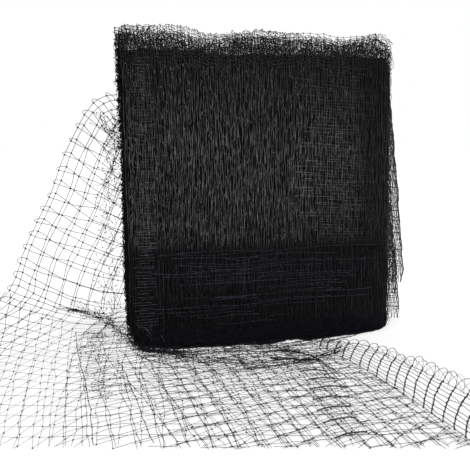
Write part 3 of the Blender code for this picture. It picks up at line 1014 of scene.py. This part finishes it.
# a flat net on the floor at the left, between the ridge and the left crease
leftNet = {
    "across": 51, "along": 91.5,  # directions in degrees from +X
    "bend": -14,  # how far they turn to the front
    "origin": (-0.29, -0.03), "reach": 16, "height": 0.0008, "uneven": 0.0006, "rumple": (0.0012, 0.0005),
    "corners": inMetres([(-338, 20), (-328, 74), (-312, 100), (-235, 85), (-214, 30), (-212, -35),
                         (-204, -150), (-200, -207), (-312, -184), (-335, -70)]),
}


# whether points lie inside the left net's outline
def insideLeft(points):
    x, y = points[..., 0], points[..., 1]
    inside = np.zeros(x.shape, bool)
    for (ax, ay), (bx, by) in zip(leftNet["corners"], np.roll(leftNet["corners"], -1, axis=0)):
        inside ^= ((ay > y) != (by > y)) & (x < ax + (bx - ax) * (y - ay) / (by - ay))
    return inside


# height of the first layer's left part above the floor
def leftHeight(x, y):
    across, place = np.meshgrid(np.linspace(0, 0.16, 40), np.linspace(5.5, 12, 90), indexing="ij")
    known = freePoint(across, place)[0].reshape(-1, 3)
    apart = (known[:, 0] - x[..., None]) ** 2 + (known[:, 1] - y[..., None]) ** 2
    return known[np.argmin(apart, axis=-1), 2]


rng = np.random.default_rng(25)
number = np.arange(-leftNet["reach"], leftNet["reach"] + 1) * net["mesh"]
i, j = np.meshgrid(number, number, indexing="ij")
along, across, bend = (math.radians(leftNet[key]) for key in ("along", "across", "bend"))
originX, originY = leftNet["origin"]
x = originX + i * math.cos(across) + j * math.cos(along)
y = originY + i * math.sin(across) + j * math.sin(along)
turn = np.sin(bend * np.clip((originY - y) / 0.2, -1, 1) * 0.5)
x, y = x + (y - originY) * turn * 0.3, y + (x - originX) * turn
points = np.stack([x, y, leftHeight(x, y) + leftNet["height"]], axis=-1)
points = points + rng.normal(0, leftNet["uneven"], points.shape) * (1, 1, 0.3)
points = aboveFloor(rumple(points, rng, *leftNet["rumple"]))
for near, far in ((points[:-1], points[1:]), (points[:, :-1], points[:, 1:])):
    near, far = near.reshape(-1, 1, 3), far.reshape(-1, 1, 3)
    lines = near + (far - near) * np.linspace(0, 1, 7)[:, None]
    whole = insideLeft(lines)
    keep = whole.all(axis=1)
    cut = whole[:, :-1] & whole[:, 1:] & ~keep[:, None]
    for some in (lines[keep][:, ::3], np.stack([lines[:, :-1], lines[:, 1:]], axis=2)[cut]):
        addTubes(parts, some, freeStrand(some), floorFacing)
knots = points[insideLeft(points)]
addKnots(parts, knots, freeKnot(knots))
makePiece("freeNet", parts, strandMaterial)

# more layers lie folded under, from the left crease to the right
underLayers = (
    {"seed": 23, "start": 0.46, "startSlope": -0.1, "shift": 0.006, "lift": 0.0026, "first": 5.4,
     "jitter": 0.0008, "bow": 0.0005, "turns": (-8.5, -8.5)},
    {"seed": 24, "start": 0.47, "startSlope": 0.2, "shift": 0.011, "lift": 0.0008, "first": 6.2,
     "turns": (-3, -3)},
    {"seed": 28, "start": 0.58, "startSlope": 0.1, "shift": 0.002, "lift": 0.0016, "first": 6.4,
     "turns": (-12, -12)},
    {"seed": 29, "start": 0.61, "startSlope": 0.15, "shift": 0.009, "lift": 0.0014, "first": 6.6,
     "turns": (-5.5, -5.5), "width": 0.16},
)
parts = []
for settings in underLayers:
    layerStrands(parts, **{"jitter": 0.0009, "bow": 0.0006, "thick": 0.9, **settings})
makePiece("freeUnder", parts, strandMaterial)

# strands drawn together into bunches; paths and widths are in millimetres
bunches = (
    # close folds on the floor along the pack's foot
    {"path": ((-150, -24, 2), (-125, -44, 3), (-90, -60, 3), (-50, -68, 3), (-10, -62, 2), (20, -48, 1)),
     "widths": (12, 26, 48, 60, 50, 18), "strands": 8, "cross": 2, "wild": 1.2, "radius": 0.00026},
    {"path": ((15, -40, 1), (45, -36, 1), (75, -32, 1), (110, -22, 1)), "widths": (10, 14, 12, 6),
     "strands": 5, "cross": 3, "radius": 0.00030},
    # pinched folds
    {"path": ((-60, -40, 3), (-30, -47, 3), (-6, -52, 4), (10, -60, 4)), "widths": (36, 30, 18, 10),
     "strands": 6, "cross": 2, "wild": 1.2, "radius": 0.00022},
    {"path": ((6, -57, 3), (18, -71, 4), (28, -84, 4), (33, -96, 3), (34, -114, 2), (38, -132, 1)),
     "widths": (7, 4, 2.5, 3, 9, 16), "strands": 4, "wild": 0.7, "radius": 0.00034},
    {"path": ((-16, -76, 2), (2, -81, 3), (14, -88, 3), (33, -93, 3)), "widths": (9, 6, 3.5, 2), "strands": 4,
     "radius": 0.00050},
    {"path": ((-46, -90, 2), (-22, -93, 3), (6, -93, 3), (28, -90.5, 3)), "widths": (12, 9, 5, 2),
     "strands": 3, "radius": 0.00030},
    {"path": ((31, -89, 3), (42, -84, 4), (55, -77, 3), (68, -68, 2), (78, -60, 1)),
     "widths": (2.5, 3, 4, 6, 8), "strands": 4, "wild": 0.7, "radius": 0.00042},
    # the left crease, and a slighter one beside it
    {"path": ((-226, 60, 2), (-224, 20, 2), (-217, -40, 2), (-210, -95, 2), (-205, -150, 2), (-200, -208, 2)),
     "widths": (3, 2, 2, 2, 3, 3), "strands": 1, "knots": 0.7, "radius": 0.00034},
    {"path": ((-172, -50, 2), (-168, -95, 2), (-162, -150, 2), (-156, -215, 2)), "widths": (6, 4, 3, 6),
     "strands": 1, "knots": 0.5, "radius": 0.00030},
)


def bunch(parts, rng, path, widths, strands, radius, wild=0.5, knots=0.35, cross=0, lift=0.002):
    fine = smoothed(inMetres(path), 6)
    count = len(fine)
    width = np.interp(np.linspace(0, 1, count), np.linspace(0, 1, len(widths)), inMetres(widths))
    side = unit(np.cross(unit(np.gradient(fine, axis=0)), (0.0, 0.0, 1.0)))
    apart = np.linspace(-1, 1, strands)[:, None] + rng.normal(0, wild * 1.2 / strands, (strands, 1))
    sway = wander(rng, strands, count, wild * 1.4 / strands, wild * 0.5 / strands)
    lines = fine + side * ((apart + sway) * width / 2)[..., None]
    lines[..., 2] += rng.uniform(0, lift, (strands, 1)) + rng.normal(0, lift / 5, (strands, count))
    addTubes(parts, aboveFloor(lines), radius, floorFacing)
    addKnots(parts, lines[rng.uniform(size=lines.shape[:2]) < knots], 0.0009)
    if cross:
        starts = np.arange(0, count, cross)[:, None]
        slant = rng.normal(0, 1.2, (len(starts), strands)).cumsum(axis=1) * 0.5
        row = np.clip(starts + slant, 0, count - 1)
        low = np.floor(row).astype(int)
        near, far = (lines[np.arange(strands), end] for end in (low, np.minimum(low + 1, count - 1)))
        addTubes(parts, near + (far - near) * (row - low)[..., None], radius * 0.9, floorFacing)


# short curved strands every way round a path; paths, widths, lengths and "up" are in millimetres
tangles = (
    # the crease where the rising net meets the floor, to its end at the pack's foot
    {"path": ((-238, 95, 22), (-214, 91, 16), (-190, 73, 10), (-175, 36, 7), (-156.5, -6, 5), (-136, -30, 4),
              (-100, -53, 3)),
     "widths": (4, 10, 14, 9, 5, 6, 10), "count": 96, "length": (12, 36), "turn": 0.34, "curl": 0.6,
     "radius": 0.00024},
    # net drawn together under the foot's left half
    {"path": ((-160, 12, 2), (-150, -10, 2), (-137, -24, 3), (-115, -31, 3), (-92, -36, 3)),
     "widths": (4, 8, 10, 17, 26), "count": 84, "length": (10, 30), "turn": 0.5, "radius": 0.00026},
    {"path": ((-102, -40, 3), (-75, -50, 3), (-48, -58, 2)), "widths": (30, 48, 50), "count": 20,
     "length": (10, 32), "turn": 0.6, "radius": 0.00024},
    # the crease runs on in front of the foot
    {"path": ((-125, -34, 3), (-100, -54, 3), (-77, -73, 3), (-53, -87, 3), (-24, -97, 3), (6, -99, 3),
              (24, -93, 3)),
     "widths": (6, 12, 20, 28, 30, 24, 14), "count": 66, "length": (12, 36), "turn": 0.28, "curl": 0.5,
     "radius": 0.00020},
    # slack net round it
    {"path": ((-225, 96, 22), (-195, 78, 12), (-176, 40, 8), (-158, 6, 6)), "widths": (12, 24, 24, 16),
     "count": 50, "length": (14, 34), "turn": 1.2, "curl": 0.9, "radius": 0.00018, "up": 10},
    # crumpled net beside the pack's left edge
    {"path": ((-163, 98, 270), (-168, 100, 240), (-173, 100, 205), (-175, 100, 170), (-178, 100, 125),
              (-182, 100, 85), (-184, 95, 45), (-180, 85, 18)),
     "widths": (4, 12, 16, 16, 22, 30, 36, 40), "count": 128, "length": (16, 44), "turn": 0.6,
     "radius": 0.00020, "side": (1, 0, 0), "up": 4, "knot": 0.0010},
    # knot where the top strands are drawn in at the pack's edge
    {"path": ((-186, 98, 258), (-174, 96, 246), (-161, 94, 236)), "widths": (14, 9, 4), "count": 12,
     "length": (14, 30), "turn": 0.25, "curl": 0.4, "radius": 0.00026, "side": (0.5, 0, 0.8)},
    # the drawn folds in front of the foot
    {"path": ((-40, -46, 3), (-10, -55, 3), (12, -68, 4), (26, -86, 3), (34, -106, 2)),
     "widths": (26, 14, 12, 12, 18),
     "count": 5, "length": (14, 40), "turn": 0.3, "curl": 0.4, "radius": 0.00026},
    {"path": ((24, -88, 3), (40, -83, 3), (55, -77, 3), (70, -68, 1)), "widths": (12, 10, 10, 10),
     "count": 10, "length": (10, 24), "turn": 0.3, "curl": 0.4, "radius": 0.00026},
    # crumpled net to the right of the left crease
    {"path": ((-208, 60, 2), (-202, 20, 2), (-194, -30, 2), (-186, -90, 2), (-180, -130, 2)),
     "widths": (20, 34, 42, 36, 28), "count": 90, "length": (12, 32), "turn": 1.4, "radius": 0.00015, "up": 2,
     "knot": 0.0008},
)
# small loops that stand out along the pack's left edge
fringe = {
    "path": ((-165, -1, 345), (-164.5, -1, 240), (-164, -1, 120), (-162, -1, 12)), "widths": (5, 6, 6, 6),
    "count": 190, "length": (4, 9), "turn": 1.2, "curl": 1.6, "radius": 0.00024, "side": (1, 0, 0), "up": 0,
}


def tangle(parts, rng, path, widths, count, length, turn, radius, curl=0.8, up=3, side=None, knot=0.0009):
    fine = smoothed(inMetres(path), 6)
    place = rng.uniform(0, len(fine) - 1.001, count)
    low = place.astype(int)
    part = (place - low)[:, None]
    middle = fine[low] * (1 - part) + fine[low + 1] * part
    ahead = unit(fine[low + 1] - fine[low])
    aside = np.cross(ahead, (0.0, 0.0, 1.0)) if side is None else np.broadcast_to(side, ahead.shape)
    aside = unit(aside)
    width = np.interp(place / (len(fine) - 1), np.linspace(0, 1, len(widths)), inMetres(widths))
    middle = middle + aside * (width * rng.uniform(-0.5, 0.5, count))[:, None]
    middle[:, 2] += rng.uniform(0, up / 1000, count)
    bend = rng.normal(0, curl, count)[:, None] * np.linspace(-1, 1, 7)
    angle = (rng.normal(0, turn, count)[:, None] + bend + rng.normal(0, 0.15, (count, 7)))[..., None]
    lengths = rng.uniform(*inMetres(length), count)
    lines = walked(middle, np.cos(angle) * ahead[:, None] + np.sin(angle) * aside[:, None], lengths)
    addTubes(parts, aboveFloor(lines), radius, floorFacing)
    addKnots(parts, lines[:, 0], knot)
    addKnots(parts, lines[:, 3][rng.uniform(size=count) < 0.6], knot)


rng = np.random.default_rng(31)
parts = []
for settings in bunches:
    bunch(parts, rng, **settings)
for settings in tangles:
    tangle(parts, rng, **settings)
makePiece("freeFolds", parts, shadedFoldsMaterial)
parts = []
tangle(parts, rng, **fringe)
makePiece("packFringe", parts, shadedPackMaterial)


# net gathered into close lines, with a dark rung where each row of knots is drawn together
gathering = {"uneven": 0.0008, "roughness": 0.4, "between": (0.5, 0.8), "limits": (-0.05, 1.05),
             "droop": 0.0006}


def gathered(parts, rng, surface, length, first, pitch, wobble, ragged, rung, knot, line, columns=9):
    way = np.arange(first, length, pitch)
    way = (way + rng.normal(0, gathering["uneven"], len(way)))[:, None]
    fine = np.linspace(0, 1, 2 * columns - 1)
    rungs = surface(fine, way + wander(rng, len(way), len(fine), wobble, wobble * gathering["roughness"]))
    addTubes(parts, rungs, rung, gatheredFacing)
    addKnots(parts, rungs[:, ::2], knot)
    often, size = gathering["between"]
    addKnots(parts, rungs[:, 1::2][rng.uniform(size=(len(way), columns - 1)) < often], knot * size)
    places = np.linspace(0, 1, columns) + rng.normal(0, ragged, (len(way), columns))
    places = np.clip(places, *gathering["limits"])
    rows = smoothed(np.stack([places, np.broadcast_to(way, places.shape)], axis=-1), 3)
    lines = surface(rows[..., 0], rows[..., 1]).swapaxes(0, 1)
    lines[..., 2] -= np.abs(rng.normal(0, gathering["droop"], lines.shape[:2]))
    addTubes(parts, aboveFloor(lines), line, gatheredFacing)
    return rungs


# the column of rungs in front of the pack: the path of its left and right edges, in millimetres
ladder = {
    "left": ((5, -106), (3, -138), (-3, -163), (-9, -190), (-12, -213), (-13, -235), (-9, -256)),
    "right": ((30, -112), (34, -141), (32, -166), (22, -190), (17, -211), (15, -231), (12, -256)),
    "height": (0.0022, 0.0012),
    "gather": {"first": 0.006, "pitch": 0.0205, "wobble": 0.0008, "ragged": 0.03, "rung": 0.00064,
               "knot": 0.0012, "line": 0.00011},
}
ladderLeft, ladderRight = (smoothed(inMetres(ladder[side]), 8) for side in ("left", "right"))
ladderWay = wayAlong((ladderLeft + ladderRight) / 2)


def ladderSurface(part, way):
    part, way = np.broadcast_arrays(part, way)
    left, right = (rowsAt(way, ladderWay, edge) for edge in (ladderLeft, ladderRight))
    height = ladder["height"][0] + ladder["height"][1] * np.sin(np.pi * np.clip(part, 0, 1))
    return np.concatenate([left + (right - left) * part[..., None], height[..., None]], axis=-1)


parts = []
gathered(parts, np.random.default_rng(32), ladderSurface, ladderWay[-1], **ladder["gather"])
makePiece("freeLadder", parts, strandMaterial)

# the gathered margin at the right, which stands up and turns over in loops
roll = {
    "start": 7.6,
    "part": 0.32,  # of the way over the roll that the rungs reach
    "arch": (0.001, 0.013),  # how far the arches stand above the rungs, at the start and the end
    "out": 0.007,
    "strand": 0.00031,
    "behind": 0.00022,
    "setBack": (0.006, 0.004),  # how far the row behind stands to the right, and below
    "ties": ((0.010, 0.002, -0.010), (0.018, 0.0, -0.022)),
    "gather": {"first": 0.010, "pitch": 0.0138, "wobble": 0.0007, "ragged": 0.015, "rung": 0.00056,
               "knot": 0.0013, "line": 0.00032},
}
rollBase, rollHigh = sectionAt(np.linspace(roll["start"], spread["last"], 300))[2:]
rollWay = wayAlong(rollBase)
rollOut = np.cross((0.0, 0.0, 1.0), unit(np.gradient(rollBase, axis=0)))
rollOut = rollOut * np.sign(rollOut[:, :1])
rollWidth = spread["rollWidth"] * np.clip(rollHigh / 0.023, 0.5, 1)


def rollSurface(part, way):
    part, way = np.broadcast_arrays(part, way)
    turn = np.pi * part * roll["part"]
    reach = np.interp(way, rollWay, rollWidth) * (1 - np.cos(turn)) / 2
    point = rowsAt(way, rollWay, rollBase) + rowsAt(way, rollWay, rollOut) * reach[..., None]
    point[..., 2] = 0.001 + np.interp(way, rollWay, rollHigh) * np.sin(turn)
    return aboveFloor(point, 0.0005)


rng = np.random.default_rng(33)
parts = []
tops = gathered(parts, rng, rollSurface, rollWay[-1], **roll["gather"])[:, -1]
# arches from the top of each rung to the next
growth = np.linspace(0, 1, len(tops) - 1)[:, None]
rise = (roll["arch"][0] + (roll["arch"][1] - roll["arch"][0]) * growth) * rng.uniform(0.7, 1.3, growth.shape)
turn = np.linspace(0, math.pi, 9)
arches = tops[:-1, None] + (tops[1:, None] - tops[:-1, None]) * ((1 - np.cos(turn)) / 2)[:, None]
arches[..., 2] += rise * np.sin(turn) ** 0.8
arches[..., 0] += roll["out"] * np.sin(turn) * rng.uniform(0.6, 1.3, rise.shape) * (0.15 + 0.85 * growth)
addTubes(parts, arches, roll["strand"], gatheredFacing)
# a second, looser row behind, and ties down to the floor
behind = arches[:, ::2] + rng.normal(0, 0.001, arches[:, ::2].shape)
behind[..., 0] += roll["setBack"][0] * growth
behind[..., 2] -= roll["setBack"][1]
ties = np.stack([arches[:, 4] + np.array(shift) for shift in ((0, 0, 0), *roll["ties"])], axis=1)
for lines in (behind, ties):
    addTubes(parts, aboveFloor(lines, 0.0006), roll["behind"], gatheredFacing)
makePiece("freeRoll", parts, strandMaterial)
print("stage: the free end is made")

studio = {
    "floor": 30.0,
    "from": (-0.181, -0.6025, 0.2275),
    "along": (0.2287, 0.9602, -0.1599),
    "lens": 41.13,
    "sun": 1.2,
    "sunAngle": 50,  # degrees
    "sunAlong": (0.12, 0.6, -1.0),
    "white": (1, 1, 1, 1),
}
floorMesh = bpy.data.meshes.new("floor")
reach = studio["floor"]
floorCorners = [(-reach, -reach, 0), (reach, -reach, 0), (reach, reach, 0), (-reach, reach, 0)]
floorMesh.from_pydata(floorCorners, [], [(0, 1, 2, 3)])
floorMaterial = bpy.data.materials.new("paleFloor")
floorMaterial.use_nodes = True
setInputs(floorMaterial, floorMaterial.node_tree.nodes["Principled BSDF"], {
    "Base Color": (0.42, 0.42, 0.42, 1), "Emission Color": studio["white"], "Emission Strength": 0.55,
    "Specular IOR Level": 0.2, "Roughness": 0.9,
})
floorMesh.materials.append(floorMaterial)
addObject("floor", floorMesh)


def turnTo(thing, way):
    thing.rotation_euler = Vector(way).to_track_quat("-Z", "Y").to_euler()


world = bpy.data.worlds.new("studio")
world.use_nodes = True
world.node_tree.nodes["Background"].inputs["Color"].default_value = studio["white"]
world.node_tree.nodes["Background"].inputs["Strength"].default_value = 1.0
scene.world = world
key = bpy.data.lights.new("key", "SUN")
key.energy = studio["sun"]
key.angle = math.radians(studio["sunAngle"])
turnTo(addObject("key", key), studio["sunAlong"])
camera = bpy.data.cameras.new("camera")
camera.lens = studio["lens"]
scene.camera = addObject("camera", camera)
scene.camera.location = studio["from"]
turnTo(scene.camera, studio["along"])
print("stage: the floor, light and camera are set")

print("triangles in all", sum(triangleCounts))
